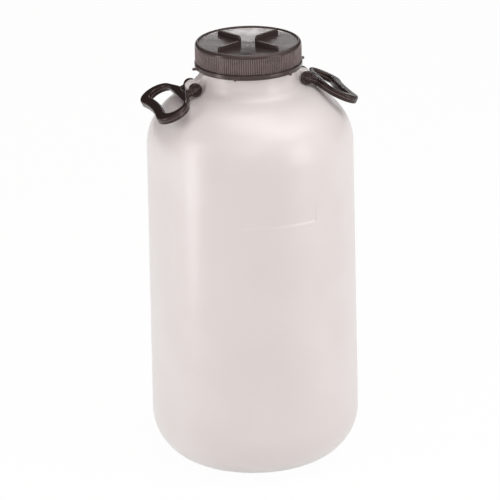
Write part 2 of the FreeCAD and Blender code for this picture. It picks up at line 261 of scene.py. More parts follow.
GROUPS = {"bottle": BottleSizes, "lugs": LugSizes, "cap": CapSizes, "handle": HandleSizes,
          "finish": FinishSettings, "studio": StudioSettings}


class BottleModel(bpy.types.PropertyGroup):
    bottle: group_of(BottleSizes, "Bottle", "Sizes of the blow-moulded body")
    lugs: group_of(LugSizes, "Lugs", "Sizes of the two lugs and stops")
    cap: group_of(CapSizes, "Cap", "Sizes of the screw cap")
    handle: group_of(HandleSizes, "Handles", "Sizes of the two carry handles")
    finish: group_of(FinishSettings, "Finishes", "Colours and gloss")
    studio: group_of(StudioSettings, "Studio", "Camera and lamps")


# ---- nodes -----------------------------------------------------------------------------------
def add(tree, kind, inputs=None, **settings):
    """A new node in a tree, with its settings made and its inputs set or linked."""
    made = tree.nodes.new(kind)
    for name, value in settings.items():
        setattr(made, name, value)
    for name, value in (inputs or {}).items():
        if isinstance(value, bpy.types.NodeSocket):
            tree.links.new(value, made.inputs[name])
        else:
            made.inputs[name].default_value = value
    return made


def maths(tree, operation, first, second=0.0):
    made = add(tree, "ShaderNodeMath", {0: first, 1: second}, operation=operation)
    return made.outputs[0]


def eased(tree, value, start, end, low=0.0, high=1.0, interpolation="SMOOTHSTEP"):
    """A value turned into low at start and high at end, with a soft step between."""
    made = add(tree, "ShaderNodeMapRange",
               {"Value": value, "From Min": start, "From Max": end, "To Min": low, "To Max": high},
               interpolation_type=interpolation)
    return made.outputs["Result"]


def parts_of_place(tree, kind="Object"):
    """X, Y and Z of where a point of the surface lies."""
    where = add(tree, "ShaderNodeTexCoord").outputs[kind]
    return add(tree, "ShaderNodeSeparateXYZ", {0: where}).outputs


def new_tree(name, kind, inputs, outputs):
    """A node group with named sockets, and its two end nodes."""
    tree = bpy.data.node_groups.new(name, kind)
    for socket, form, value in inputs:
        made = tree.interface.new_socket(socket, in_out="INPUT", socket_type=form)
        if value is not None:
            made.default_value = value
    for socket, form in outputs:
        tree.interface.new_socket(socket, in_out="OUTPUT", socket_type=form)
    return tree, tree.nodes.new("NodeGroupInput"), tree.nodes.new("NodeGroupOutput")


def tree_named(name, builder):
    return bpy.data.node_groups.get(name) or builder()


def emptied(owner):
    """The node tree of a material or world, with nothing in it."""
    owner.use_nodes = True
    owner.node_tree.nodes.clear()
    return owner.node_tree


def dressed(tree, given, out, geometry):
    """Ends a geometry tree: real meshes in the given material."""
    real = add(tree, "GeometryNodeRealizeInstances", {"Geometry": geometry})
    painted = add(tree, "GeometryNodeSetMaterial",
                  {"Geometry": real.outputs[0], "Material": given.outputs["Material"]})
    tree.links.new(painted.outputs[0], out.inputs[0])
    return tree


def turned_tree():
    """Turns a profile about Z: every row is a point of the profile, every column an angle."""
    tree, given, out = new_tree("turned_shell", "GeometryNodeTree", [
        ("Geometry", "NodeSocketGeometry", None),
        ("Columns", "NodeSocketObject", None),
        ("Front", "NodeSocketFloat", FRONT),
        ("Recess Turn", "NodeSocketFloat", 0.37),
        ("Recess Bottom", "NodeSocketFloat", 0.448),
        ("Recess Height", "NodeSocketFloat", 0.033),
        ("Recess Depth", "NodeSocketFloat", 0.0),
        ("Recess Edge", "NodeSocketFloat", 0.001),
        ("Recess Sill", "NodeSocketFloat", 0.003),
        ("Seam Height", "NodeSocketFloat", 0.0),
        ("Seam Width", "NodeSocketFloat", 0.0013),
        ("Seam Start", "NodeSocketFloat", 0.03),
        ("Widest", "NodeSocketFloat", 10.0),
        ("Material", "NodeSocketMaterial", None)], [("Geometry", "NodeSocketGeometry")])
    sizes = given.outputs
    source = add(tree, "GeometryNodeObjectInfo", {"Object": sizes["Columns"]})
    rows = add(tree, "GeometryNodeAttributeDomainSize", {"Geometry": sizes["Geometry"]})
    steps = add(tree, "GeometryNodeAttributeDomainSize", {"Geometry": source.outputs["Geometry"]})
    row_count, step_count = rows.outputs["Point Count"], steps.outputs["Point Count"]
    grid = add(tree, "GeometryNodeMeshGrid", {"Vertices X": row_count, "Vertices Y": step_count})
    index = add(tree, "GeometryNodeInputIndex").outputs[0]
    row = add(tree, "FunctionNodeIntegerMath", {0: index, 1: step_count},
              operation="DIVIDE_FLOOR").outputs[0]
    step = add(tree, "FunctionNodeIntegerMath", {0: index, 1: step_count},
               operation="MODULO").outputs[0]
    place = add(tree, "GeometryNodeInputPosition").outputs[0]

    def sampled(geometry, at):
        node = add(tree, "GeometryNodeSampleIndex", {"Geometry": geometry, "Index": at},
                   data_type="FLOAT_VECTOR", domain="POINT")
        tree.links.new(place, node.inputs["Value"])
        return add(tree, "ShaderNodeSeparateXYZ", {0: node.outputs["Value"]}).outputs

    profile = sampled(sizes["Geometry"], row)
    angle = sampled(source.outputs["Geometry"], step)["X"]
    radius, height = profile["X"], profile["Z"]

    off_front = maths(tree, "ABSOLUTE", maths(tree, "SUBTRACT", angle, sizes["Front"]))
    past = maths(tree, "MULTIPLY", radius,
                 maths(tree, "SUBTRACT", off_front, sizes["Recess Turn"]))
    edge = sizes["Recess Edge"]
    inside = eased(tree, past, maths(tree, "MULTIPLY", edge, -1.0), edge, 1.0, 0.0)
    bottom, sill = sizes["Recess Bottom"], sizes["Recess Sill"]
    above = eased(tree, height, maths(tree, "SUBTRACT", bottom, sill),
                  maths(tree, "ADD", bottom, sill))
    fading = eased(tree, height, bottom,
                   maths(tree, "ADD", bottom, sizes["Recess Height"]), 1.0, 0.0, "LINEAR")
    hollow = maths(tree, "MULTIPLY", maths(tree, "MULTIPLY", inside, above),
                   maths(tree, "MULTIPLY", fading, sizes["Recess Depth"]))

    to_seam = maths(tree, "PINGPONG", angle, pi / 2)
    seam_off = maths(tree, "MULTIPLY", to_seam, radius)
    seam = eased(tree, seam_off, 0.0, sizes["Seam Width"], 1.0, 0.0)
    start = sizes["Seam Start"]
    seam_on = eased(tree, height, start, maths(tree, "MULTIPLY", start, 2.0))
    ridge = maths(tree, "MULTIPLY", maths(tree, "MULTIPLY", seam, seam_on),
                  sizes["Seam Height"])

    moved = maths(tree, "ADD", maths(tree, "SUBTRACT", radius, hollow), ridge)
    moved = maths(tree, "MINIMUM", moved, sizes["Widest"])
    across = maths(tree, "MULTIPLY", moved, maths(tree, "COSINE", angle))
    along = maths(tree, "MULTIPLY", moved, maths(tree, "SINE", angle))
    spot = add(tree, "ShaderNodeCombineXYZ", {"X": across, "Y": along, "Z": height})
    shaped = add(tree, "GeometryNodeSetPosition",
                 {"Geometry": grid.outputs["Mesh"], "Position": spot.outputs[0]})
    welded = add(tree, "GeometryNodeMergeByDistance",
                 {"Geometry": shaped.outputs[0], "Distance": WELD})
    return dressed(tree, given, out, welded.outputs[0])


def ring_tree():
    """Repeats one piece about Z at equal steps."""
    tree, given, out = new_tree("ring_of_pieces", "GeometryNodeTree", [
        ("Geometry", "NodeSocketGeometry", None),
        ("Piece", "NodeSocketObject", None),
        ("Count", "NodeSocketInt", 6),
        ("First Turn", "NodeSocketFloat", 0.0),
        ("Material", "NodeSocketMaterial", None)], [("Geometry", "NodeSocketGeometry")])
    points = add(tree, "GeometryNodeMeshLine", {"Count": given.outputs["Count"],
                                                "Offset": (0.0, 0.0, 0.0)})
    source = add(tree, "GeometryNodeObjectInfo", {"Object": given.outputs["Piece"]})
    index = add(tree, "GeometryNodeInputIndex").outputs[0]
    pitch = maths(tree, "DIVIDE", 2 * pi, given.outputs["Count"])
    heading = maths(tree, "ADD", maths(tree, "MULTIPLY", index, pitch),
                    given.outputs["First Turn"])
    turned_to = add(tree, "ShaderNodeCombineXYZ", {"Z": heading})
    copies = add(tree, "GeometryNodeInstanceOnPoints",
                 {"Points": points.outputs["Mesh"], "Instance": source.outputs["Geometry"],
                  "Rotation": turned_to.outputs[0]})
    return dressed(tree, given, out, copies.outputs[0])


def grown(name, start, tree, values):
    """The plain mesh that a geometry node tree makes from a starting mesh."""
    holder = placed(name + "_start", start)
    modifier = holder.modifiers.new("grow", "NODES")
    modifier.node_group = tree
    for item in tree.interface.items_tree:
        if item.item_type == "SOCKET" and item.in_out == "INPUT" and item.name in values:
            modifier[item.identifier] = values[item.name]
    bpy.context.view_layer.update()
    graph = bpy.context.evaluated_depsgraph_get()
    mesh = bpy.data.meshes.new_from_object(holder.evaluated_get(graph), depsgraph=graph)
    bpy.data.objects.remove(holder)
    return mesh


# ---- meshes ----------------------------------------------------------------------------------
def placed(name, data):
    """A new object in the scene."""
    made = bpy.data.objects.new(name, data)
    bpy.context.scene.collection.objects.link(made)
    return made


def as_mesh(name, shape):
    """A mesh from a bmesh, which is then freed."""
    mesh = bpy.data.meshes.new(name)
    shape.to_mesh(mesh)
    shape.free()
    return mesh


def mesh_of(name, points, faces=()):
    mesh = bpy.data.meshes.new(name)
    mesh.from_pydata([tuple(p) for p in points], [], [tuple(f) for f in faces])
    mesh.update()
    return mesh


def finished(name, mesh, body, node, material):
    """A piece of the bottle: normals outward, smooth, in its material, on its body, with the
    imported part that it stands for hidden.
    """
    shape = bmesh.new()
    shape.from_mesh(mesh)
    bmesh.ops.dissolve_degenerate(shape, dist=0.001 * MM, edges=shape.edges)
    bmesh.ops.recalc_face_normals(shape, faces=shape.faces)
    shape.to_mesh(mesh)
    shape.free()
    mesh.name = name
    mesh.shade_smooth()
    mesh.set_sharp_from_angle(angle=SHARP)
    mesh.materials.clear()
    mesh.materials.append(material)
    made = placed(name, mesh)
    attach(made, body)
    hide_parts(node)
    return made


def swept(center, radius, start, end, steps):
    """Points of an arc in the XZ plane, from one direction to another."""
    return [(center[0] + radius * cos(start + (end - start) * i / steps),
             center[1] + radius * sin(start + (end - start) * i / steps))
            for i in range(steps + 1)]


def rounded(corners, steps):
    """An open outline of (radius, height, round) corners with the corners rounded off."""
    points = [corners[0][:2]]
    for before, here, after in zip(corners, corners[1:], corners[2:]):
        size = here[2]
        if size <= 0:
            points.append(here[:2])
            continue
        middle = Vector(here[:2])
        back = (Vector(before[:2]) - middle).normalized()
        ahead = (Vector(after[:2]) - middle).normalized()
        half = back.angle(ahead) / 2
        reach = size / tan(half)
        start, end = middle + back * reach, middle + ahead * reach
        center = middle + (back + ahead).normalized() * (size / sin(half))
        first = atan2(*(start - center).yx)
        swing = (atan2(*(end - center).yx) - first + pi) % (2 * pi) - pi
        points += swept(center, size, first, first + swing, steps)
    points.append(corners[-1][:2])
    return points


def between(a, b, steps):
    """Points after a and up to b on a straight run."""
    return [(a[0] + (b[0] - a[0]) * i / steps, a[1] + (b[1] - a[1]) * i / steps)
            for i in range(1, steps + 1)]


def turned(name, outline, angles, material, **values):
    """A mesh turned about Z from an outline of (radius, height) points."""
    start = mesh_of(name + "_profile", [(r, 0.0, z) for r, z in outline])
    columns = placed(name + "_columns", mesh_of(name + "_columns", [(a, 0, 0) for a in angles]))
    values.update({"Columns": columns, "Material": material})
    mesh = grown(name, start, tree_named("turned_shell", turned_tree), values)
    bpy.data.objects.remove(columns)
    return mesh


def around(name, piece, number, first, material):
    """Copies of one mesh about Z."""
    lender = placed(name + "_piece", piece)
    mesh = grown(name, mesh_of(name + "_start", []), tree_named("ring_of_pieces", ring_tree),
                 {"Piece": lender, "Count": number, "First Turn": first, "Material": material})
    bpy.data.objects.remove(lender)
    return mesh


def prism(name, outline, thickness, bevel):
    """A flat outline in XZ given thickness, half to each side, with its edges rounded."""
    shape = bmesh.new()
    face = shape.faces.new([shape.verts.new((x, -thickness / 2, z)) for x, z in outline])
    pushed = bmesh.ops.extrude_face_region(shape, geom=[face])
    moved = [item for item in pushed["geom"] if isinstance(item, bmesh.types.BMVert)]
    bmesh.ops.translate(shape, verts=moved, vec=Vector((0, thickness, 0)))
    bmesh.ops.recalc_face_normals(shape, faces=shape.faces)
    rims = [edge for edge in shape.edges if edge.calc_face_angle(0) > radians(60)]
    bmesh.ops.bevel(shape, geom=rims, offset=bevel, segments=3, profile=0.5,
                    affect="EDGES", clamp_overlap=True)
    return as_mesh(name, shape)


def lofted(name, rings):
    """A mesh through rings of points, with closed ends."""
    shape = bmesh.new()
    rings = [[shape.verts.new(point) for point in ring] for ring in rings]
    for first, second in zip(rings, rings[1:]):
        for i in range(len(first)):
            j = (i + 1) % len(first)
            shape.faces.new((first[i], first[j], second[j], second[i]))
    shape.faces.new(rings[0][::-1])
    shape.faces.new(rings[-1])
    return as_mesh(name, shape)


def rod(name, stations, rise, sides=20):
    """A round rod along X from (distance, radius) stations, with closed ends."""
    corners = [2 * pi * i / sides for i in range(sides)]
    return lofted(name, [[(along, radius * cos(a), rise + radius * sin(a)) for a in corners]
                         for along, radius in stations])


def joined(name, meshes):
    shape = bmesh.new()
    for mesh in meshes:
        shape.from_mesh(mesh)
    return as_mesh(name, shape)


# ---- distance fields -------------------------------------------------------------------------
def outline_distance(x, y, outline):
    """Distance from points to a closed outline, negative inside it."""
    nearest = np.full(np.broadcast(x, y).shape, 1.0)
    inside = np.zeros(nearest.shape, bool)
    for (ax, ay), (bx, by) in zip(outline, outline[1:] + outline[:1]):
        ex, ey = bx - ax, by - ay
        size = ex * ex + ey * ey
        if size < 1e-16:     # two corners in one place
            continue
        t = np.clip(((x - ax) * ex + (y - ay) * ey) / size, 0.0, 1.0)
        nearest = np.minimum(nearest, (x - ax - t * ex) ** 2 + (y - ay - t * ey) ** 2)
        if ey != 0:
            inside ^= ((ay > y) != (by > y)) & (x < ex * (y - ay) / ey + ax)
    return np.where(inside, -1.0, 1.0) * np.sqrt(nearest)


def thickened(flat, off, half, edge_round):
    """Field of a flat shape given thickness to both sides, with rounded edges."""
    a = flat + edge_round
    b = np.abs(off) - half + edge_round
    outside = np.hypot(np.maximum(a, 0), np.maximum(b, 0))
    return np.minimum(np.maximum(a, b), 0) + outside - edge_round


def blended(a, b, size):
    """Soft union of two fields."""
    h = np.clip(0.5 + 0.5 * (b - a) / size, 0, 1)
    return b + (a - b) * h - size * h * (1 - h)


def cut(a, hole, size):
    """A field with a hole taken out, its edge softened."""
    return -blended(-a, hole, size)


def drawn(name, field, low, high, step):
    """Mesh of the surface where a field is zero, with its points moved onto that surface."""
    axes = [np.arange(a, b + step, step) for a, b in zip(low, high)]
    values = field(*np.ix_(*axes)) + np.zeros([len(a) for a in axes])
    band, probe, least_steep, furthest = 3.0 * step, 0.04 * MM, 0.3, 0.5 * step
    grid = openvdb.FloatGrid(band)
    grid.copyFromArray(np.ascontiguousarray(values, dtype=np.float32))
    points, quads = grid.convertToQuads(0.0)
    points = np.array(points, float) * step + np.array([a[0] for a in axes])
    for _ in range(4):
        here = field(*points.T)
        slope = np.stack([(field(*(points + shift).T) - field(*(points - shift).T)) / (2 * probe)
                          for shift in np.eye(3) * probe], axis=1)
        steep = np.maximum(np.linalg.norm(slope, axis=1), least_steep)
        reach = np.clip(here / steep, -furthest, furthest)
        points -= slope * (reach / steep)[:, None]
    return mesh_of(name, points, np.array(quads, int))


# ---- shader groups ---------------------------------------------------------------------------
def skin_group():
    """Fine grain and slow waves of a moulded plastic surface."""
    tree, given, out = new_tree("moulded_skin", "ShaderNodeTree", [
        ("Grain Scale", "NodeSocketFloat", 900.0), ("Grain Height", "NodeSocketFloat", 0.00002),
        ("Wave Scale", "NodeSocketFloat", 12.0), ("Wave Height", "NodeSocketFloat", 0.0005)],
        [("Normal", "NodeSocketVector"), ("Grain", "NodeSocketFloat"),
         ("Blotch", "NodeSocketFloat")])
    where = add(tree, "ShaderNodeTexCoord").outputs["Object"]
    grain = add(tree, "ShaderNodeTexNoise", {"Vector": where, "Scale": given.outputs["Grain Scale"],
                                             "Detail": 2.0})
    wave = add(tree, "ShaderNodeTexNoise", {"Vector": where, "Scale": given.outputs["Wave Scale"],
                                            "Detail": 1.0})
    slow = add(tree, "ShaderNodeBump", {"Height": wave.outputs[0],
                                        "Distance": given.outputs["Wave Height"]})
    fine = add(tree, "ShaderNodeBump", {"Height": grain.outputs[0], "Normal": slow.outputs[0],
                                        "Distance": given.outputs["Grain Height"]})
    blotch = eased(tree, wave.outputs[0], 0.35, 0.65)
    for value, socket in zip((fine.outputs[0], grain.outputs[0], blotch), out.inputs):
        tree.links.new(value, socket)
    return tree


def wear_group():
    """Mask of the rubbed, lighter edges of a part."""
    tree, given, out = new_tree("edge_wear", "ShaderNodeTree", [
        ("Start", "NodeSocketFloat", 0.52), ("Full", "NodeSocketFloat", 0.6),
        ("Patch Scale", "NodeSocketFloat", 60.0)], [("Worn", "NodeSocketFloat")])
    where = add(tree, "ShaderNodeTexCoord").outputs["Object"]
    patch = add(tree, "ShaderNodeTexNoise", {"Vector": where, "Scale": given.outputs["Patch Scale"],
                                             "Detail": 3.0})
    point = add(tree, "ShaderNodeNewGeometry").outputs["Pointiness"]
    edge = eased(tree, point, given.outputs["Start"], given.outputs["Full"])
    patchy = eased(tree, patch.outputs[0], 0.3, 0.6, 0.35, 1.0)
    tree.links.new(maths(tree, "MULTIPLY", edge, patchy), out.inputs[0])
    return tree


def group_node(tree, name, builder, values):
    made = add(tree, "ShaderNodeGroup", node_tree=tree_named(name, builder))
    for socket, value in values.items():
        made.inputs[socket].default_value = value
    return made


def mixed(tree, factor, first, second):
    """Colour between two colours."""
    made = add(tree, "ShaderNodeMix", data_type="RGBA")
    sockets = {"Factor": factor, "A": first, "B": second}
    for socket in made.inputs:
        kind = "VALUE" if socket.name == "Factor" else "RGBA"
        if socket.name in sockets and socket.type == kind:
            value = sockets[socket.name]
            if isinstance(value, bpy.types.NodeSocket):
                tree.links.new(value, socket)
            else:
                socket.default_value = (*value, 1.0)
    return next(socket for socket in made.outputs if socket.type == "RGBA")


def new_material(name):
    """A material with a bare Principled shader."""
    material = bpy.data.materials.new(name)
    tree = emptied(material)
    shader = add(tree, "ShaderNodeBsdfPrincipled")
    add(tree, "ShaderNodeOutputMaterial", {"Surface": shader.outputs[0]})
    return material, tree, shader


def milky_material(finish):
    """Natural polyethylene: satin, faintly cloudy, with a softly waving wall."""
    if "milky_polyethylene" in bpy.data.materials:
        return bpy.data.materials["milky_polyethylene"]
    material, tree, shader = new_material("milky_polyethylene")
    skin = group_node(tree, "moulded_skin", skin_group, {
        "Grain Scale": 700.0, "Grain Height": 0.00002, "Wave Scale": 9.0, "Wave Height": 0.0008})
    colour_out = mixed(tree, skin.outputs["Blotch"], finish.milky, finish.milky_deep)
    rough, spread = finish.milky_roughness, 0.05
    rough = eased(tree, skin.outputs["Grain"], 0.2, 0.8, rough - spread, rough + spread, "LINEAR")
    tree.links.new(colour_out, shader.inputs["Base Color"])
    tree.links.new(rough, shader.inputs["Roughness"])
    tree.links.new(skin.outputs["Normal"], shader.inputs["Normal"])
    shader.inputs["Coat Weight"].default_value = 0.5
    shader.inputs["Coat Roughness"].default_value = 0.28
    return material


def black_material(name, black, worn_and_highlight, roughness, edge, skin_values, ridge=None):
    """Black moulded plastic with rubbed edges; ridge is a mask of raised lines or crests, made
    lighter, which on the cap's rib crests is a painted highlight.
    """
    if name in bpy.data.materials:
        return bpy.data.materials[name]
    material, tree, shader = new_material(name)
    skin = group_node(tree, "moulded_skin", skin_group, skin_values)
    wear = group_node(tree, "edge_wear", wear_group, edge)
    mask = wear.outputs["Worn"]
    normal = skin.outputs["Normal"]
    # Share of the lighter colour along ridge lines: on the cap's rib crests a painted highlight, on
    # the handles their mould line
    mould_line_and_highlight_share, ridge_rise = 0.7, 0.3 * MM
    smoother, rougher, worn_rougher = 0.04, 0.05, 0.12
    if ridge is not None:
        line = ridge(tree)
        # On the cap the ridge mask marks the rib crests, so lightening them there paints a
        # highlight
        mask = maths(tree, "MAXIMUM", mask, maths(tree, "MULTIPLY", line, mould_line_and_highlight_share))
        raised = add(tree, "ShaderNodeBump", {"Height": line, "Distance": ridge_rise,
                                              "Normal": normal})
        normal = raised.outputs[0]
    rough = eased(tree, skin.outputs["Blotch"], 0.0, 1.0, roughness - smoother,
                  roughness + rougher, "LINEAR")
    tree.links.new(mixed(tree, mask, black, worn_and_highlight), shader.inputs["Base Color"])
    tree.links.new(maths(tree, "ADD", rough, maths(tree, "MULTIPLY", mask, worn_rougher)),
                   shader.inputs["Roughness"])
    tree.links.new(normal, shader.inputs["Normal"])
    shader.inputs["Specular Tint"].default_value = (*WARM_GLOSS, 1.0)
    shader.inputs["Specular IOR Level"].default_value = 0.4
    return material


def cap_material(model):
    """Black plastic of the cap, with a painted highlight on the crests of its grip ribs."""
    sizes = model.cap
    root, _, low, rim = cap_levels(sizes)
    high = rim - sizes.edge_drop - 0.8 * MM

    def crest(tree):
        # Mask of the rib crests, which are painted lighter as a highlight
        parts = parts_of_place(tree)
        flat = add(tree, "ShaderNodeCombineXYZ", {"X": parts["X"], "Y": parts["Y"]}).outputs[0]
        reach = add(tree, "ShaderNodeVectorMath", {0: flat}, operation="LENGTH").outputs["Value"]
        tip = eased(tree, reach, root + 0.4 * sizes.rib_depth, root + 0.95 * sizes.rib_depth)
        over = maths(tree, "GREATER_THAN", parts["Z"], low)
        under = maths(tree, "LESS_THAN", parts["Z"], high)
        return maths(tree, "MULTIPLY", tip, maths(tree, "MULTIPLY", over, under))

    finish = model.finish
    return black_material("ribbed_cap_black", finish.cap_black, finish.cap_worn_and_highlight,
                          finish.cap_roughness, {"Start": 0.53, "Full": 0.64, "Patch Scale": 90.0},
                          {"Grain Scale": 1500.0, "Grain Height": 0.00001, "Wave Scale": 40.0,
                           "Wave Height": 0.00008}, crest)


def handle_material(model):
    """Black plastic of the handles, with a mould line halfway through their thickness."""
    slope = model.handle.slope

    def ridge(tree):
        parts = parts_of_place(tree)
        out = maths(tree, "SUBTRACT", maths(tree, "ABSOLUTE", parts["X"]), PIVOT.x)
        up = maths(tree, "SUBTRACT", parts["Z"], PIVOT.z)
        off = maths(tree, "ADD", maths(tree, "MULTIPLY", out, sin(slope)),
                    maths(tree, "MULTIPLY", up, cos(slope)))
        return eased(tree, maths(tree, "ABSOLUTE", off), 0.2 * MM, 0.8 * MM, 1.0, 0.0)

    finish = model.finish
    return black_material("handle_grip_black", finish.handle_black, finish.handle_worn,
                          finish.handle_roughness,
                          {"Start": 0.53, "Full": 0.62, "Patch Scale": 70.0},
                          {"Grain Scale": 1300.0, "Grain Height": 0.000015, "Wave Scale": 35.0,
                           "Wave Height": 0.0002}, ridge)


# ---- shapes of the bottle --------------------------------------------------------------------
def shoulder(sizes):
    """Points of the two rounds, the cone and the hollow round that runs into the neck."""
    slope = sizes.crown_slope
    first_center = (sizes.wall_radius - sizes.shoulder_round, sizes.shoulder_height)
    short = sizes.shoulder_round - sizes.crown_round
    crown_center = (first_center[0] + short * cos(sizes.shoulder_turn),
                    first_center[1] + short * sin(sizes.shoulder_turn))
    crest = (crown_center[0] + sizes.crown_round * sin(slope),
             crown_center[1] + sizes.crown_round * cos(slope))
    corner = crest[1] + (crest[0] - sizes.neck_radius) * tan(slope)
    setback = sizes.neck_round * tan((pi / 2 - slope) / 2)
    hollow_center = (sizes.neck_radius + sizes.neck_round, corner + setback)
    points = swept(first_center, sizes.shoulder_round, 0, sizes.shoulder_turn, 12)
    points += swept(crown_center, sizes.crown_round, sizes.shoulder_turn, pi / 2 - slope, 12)[1:]
    points += swept(hollow_center, sizes.neck_round, -pi / 2 - slope, -pi, 12)
    return points


def body_outline(sizes):
    """Outline of the whole body, from the middle of the base to the middle of the mouth."""
    foot = sizes.wall_radius + sizes.foot_flare
    base = (foot - sizes.base_round, sizes.base_round)
    points = [(0.0, 0.0)] + between((0, 0), (base[0], 0.0), 5)
    points += swept(base, sizes.base_round, -pi / 2, 0, 22)[1:]
    wall_start, wall_end = points[-1], (sizes.wall_radius, sizes.shoulder_height)

    def on_wall(height):
        part = (height - wall_start[1]) / (wall_end[1] - wall_start[1])
        return (wall_start[0] + (wall_end[0] - wall_start[0]) * part, height)

    low, edge = sizes.recess_bottom, sizes.recess_sill
    top = low + sizes.recess_height
    heights = [low - edge * 2] + [low + edge * k / 4 for k in range(-4, 5)]
    heights += [low + sizes.recess_height * k / 6 for k in range(1, 7)] + [top + edge]
    points += between(wall_start, on_wall(heights[0] - 4 * MM), 14)
    points += [on_wall(height) for height in heights]
    points += between(on_wall(heights[-1]), wall_end, 4)[:-1] + shoulder(sizes)
    mouth = sizes.neck_radius + sizes.mouth_step
    start, under = CAP_BOTTOM + sizes.mouth_start, CAP_BOTTOM + sizes.mouth_end
    points += between(points[-1], (sizes.neck_radius, start), 3)
    points += [(mouth, start + sizes.mouth_step), (mouth, under), (0.0, under)]
    return points


def body_angles(sizes):
    """Angles of the columns: even steps, and close ones at the recess edges and the seams."""
    angles = list(np.linspace(0, 2 * pi, sizes.columns + 1))
    edge = sizes.recess_edge / sizes.wall_radius
    for side in (-1, 1):
        angles += [FRONT + side * sizes.recess_turn + edge * k / 4 for k in range(-5, 6)]
    seam = sizes.seam_width / sizes.wall_radius
    for middle in (0.0, pi, 2 * pi):
        angles += [middle + seam * k / 2 for k in range(-2, 3)]
    kept, slack, closest = [], 1e-9, 0.1 * MM / sizes.wall_radius
    for angle in sorted(a for a in angles if -slack <= a <= 2 * pi + slack):
        if not kept or angle - kept[-1] > closest:
            kept.append(angle)
    kept[-1] = 2 * pi
    return kept


def lug_field(bottle, lugs, slope, half_depth):
    """Field of the right lug and stop, run softly into the skin of the shoulder."""
    outline = body_outline(bottle)
    px, pz = PIVOT.x, PIVOT.z
    inside = bottle.neck_radius - bottle.neck_round / 2
    low = pz - 2 * lugs.radius - bottle.neck_round / 2
    top = pz + lugs.radius
    web = [(inside, low), (px + lugs.radius, low), (px + lugs.radius, pz), (px, pz), (px, top),
           (bottle.neck_radius + lugs.web_run, top),
           (bottle.neck_radius, top + lugs.web_rise), (inside, top + lugs.web_rise)]

    def in_plane(reach, height):
        return (px + reach * cos(slope) + height * sin(slope),
                pz - reach * sin(slope) + height * cos(slope))

    under = -half_depth - lugs.stop_gap
    stop = [in_plane(lugs.radius / 2, under), in_plane(lugs.stop_reach, under),
            in_plane(lugs.stop_reach, under - lugs.stop_height),
            in_plane(lugs.radius / 2, under - lugs.stop_height)]
    drop, skin = 0.12 * MM, 3.0 * MM

    def field(x, y, z):
        knuckle = np.hypot(x - px, z - pz) - lugs.radius
        flat = np.minimum(knuckle, outline_distance(x, z, web))
        lug = thickened(flat, y, lugs.width / 2, lugs.edge_round)
        wedge = thickened(outline_distance(x, z, stop), y, lugs.stop_width / 2,
                          lugs.edge_round / 2)
        shell = outline_distance(np.hypot(x, y), z, outline)
        whole = blended(shell + drop, np.minimum(lug, wedge), lugs.blend)
        hole = np.maximum(np.hypot(x - px, z - pz) - lugs.socket_radius,
                          lugs.width / 2 - lugs.socket_depth - np.abs(y))
        return np.maximum(np.maximum(whole, -hole), -(shell + skin))

    return field


def clipped(field, low, high):
    """A field kept inside a box."""
    def held(x, y, z):
        sides = [np.maximum(a - value, value - b) for value, a, b in zip((x, y, z), low, high)]
        return np.maximum(field(x, y, z), np.maximum(np.maximum(sides[0], sides[1]), sides[2]))
    return held


# ---- shapes of the cap -----------------------------------------------------------------------
def cap_levels(sizes):
    """Root radius of the ribs, top of the lower band, foot of the ribs and the rim."""
    collar_top = CAP_BOTTOM + sizes.collar_height
    return (sizes.radius - sizes.rib_depth, collar_top, collar_top + sizes.collar_groove,
            CAP_BOTTOM + sizes.height)


def cap_outline(sizes):
    """Corners of the cap's section, each with its round, from the gate to under the plate."""
    root, collar_top, rib_bottom, rim = cap_levels(sizes)
    land = sizes.radius - sizes.edge_inset
    dish = land - sizes.rim_land
    edge_start = rim - sizes.edge_drop
    collar = sizes.radius + sizes.collar_stand
    hollow = root - 0.8 * MM
    plate_under = rim - sizes.dish_depth - sizes.dish_plate

    def dish_height(radius):
        rise = (sizes.dish_depth - sizes.dish_lip) * (radius / dish) ** 1.25
        return rim - sizes.dish_depth + rise

    gate = sizes.gate_radius
    outline = [(0.0, dish_height(0) + sizes.gate_height, 0),
               (gate, dish_height(0) + sizes.gate_height, 0.25 * MM),
               (gate, dish_height(gate), 0.2 * MM)]
    outline += [(dish * k / 16, dish_height(dish * k / 16), 0) for k in range(2, 16)]
    outline += [(dish, dish_height(dish), 1.2 * MM), (dish, rim, 0.45 * MM),
                (land, rim, 0.5 * MM)]
    start, end = Vector((land, rim)), Vector((sizes.radius, edge_start))
    out = Vector((sizes.edge_drop, sizes.edge_inset)).normalized()
    pull = (start + end) / 2 + out * (2 * sizes.edge_bulge)
    for k in range(1, 8):
        t = k / 8
        here = start * (1 - t) ** 2 + pull * (2 * t * (1 - t)) + end * t ** 2
        outline.append((here.x, here.y, 0))
    return outline + [
        (sizes.radius, edge_start, 0), (sizes.radius, edge_start - 0.5 * MM, 0.2 * MM),
        (root, edge_start - 0.5 * MM, 0.1 * MM), (root, rib_bottom, 0.2 * MM),
        (hollow, rib_bottom, 0.2 * MM), (hollow, collar_top, 0.3 * MM),
        (collar, collar_top, 0.8 * MM), (collar, CAP_BOTTOM, 0.8 * MM),
        (root - sizes.wall, CAP_BOTTOM, 0.3 * MM), (root - sizes.wall, plate_under, 0),
        (0.0, plate_under, 0)]


def grip_rib(sizes):
    """One rib with a rounded crest, run out at its foot."""
    root, _, low, rim = cap_levels(sizes)
    high = rim - sizes.edge_drop - 0.4 * MM
    depth, sunk, run_out = sizes.rib_depth, -0.4 * MM, 1.2 * MM
    pitch = 2 * pi * root / sizes.rib_count
    side = pitch * 0.36
    section = [(sunk, -side), (0.25 * depth, -side), (0.85 * depth, -side * 0.5), (depth, 0.0),
               (0.85 * depth, side * 0.5), (0.25 * depth, side), (sunk, side)]
    return lofted("rib", [[(root + (x * part if x > 0 else x), y, height) for x, y in section]
                          for height, part in ((low, 0.25), (low + run_out, 1.0), (high, 1.0))])


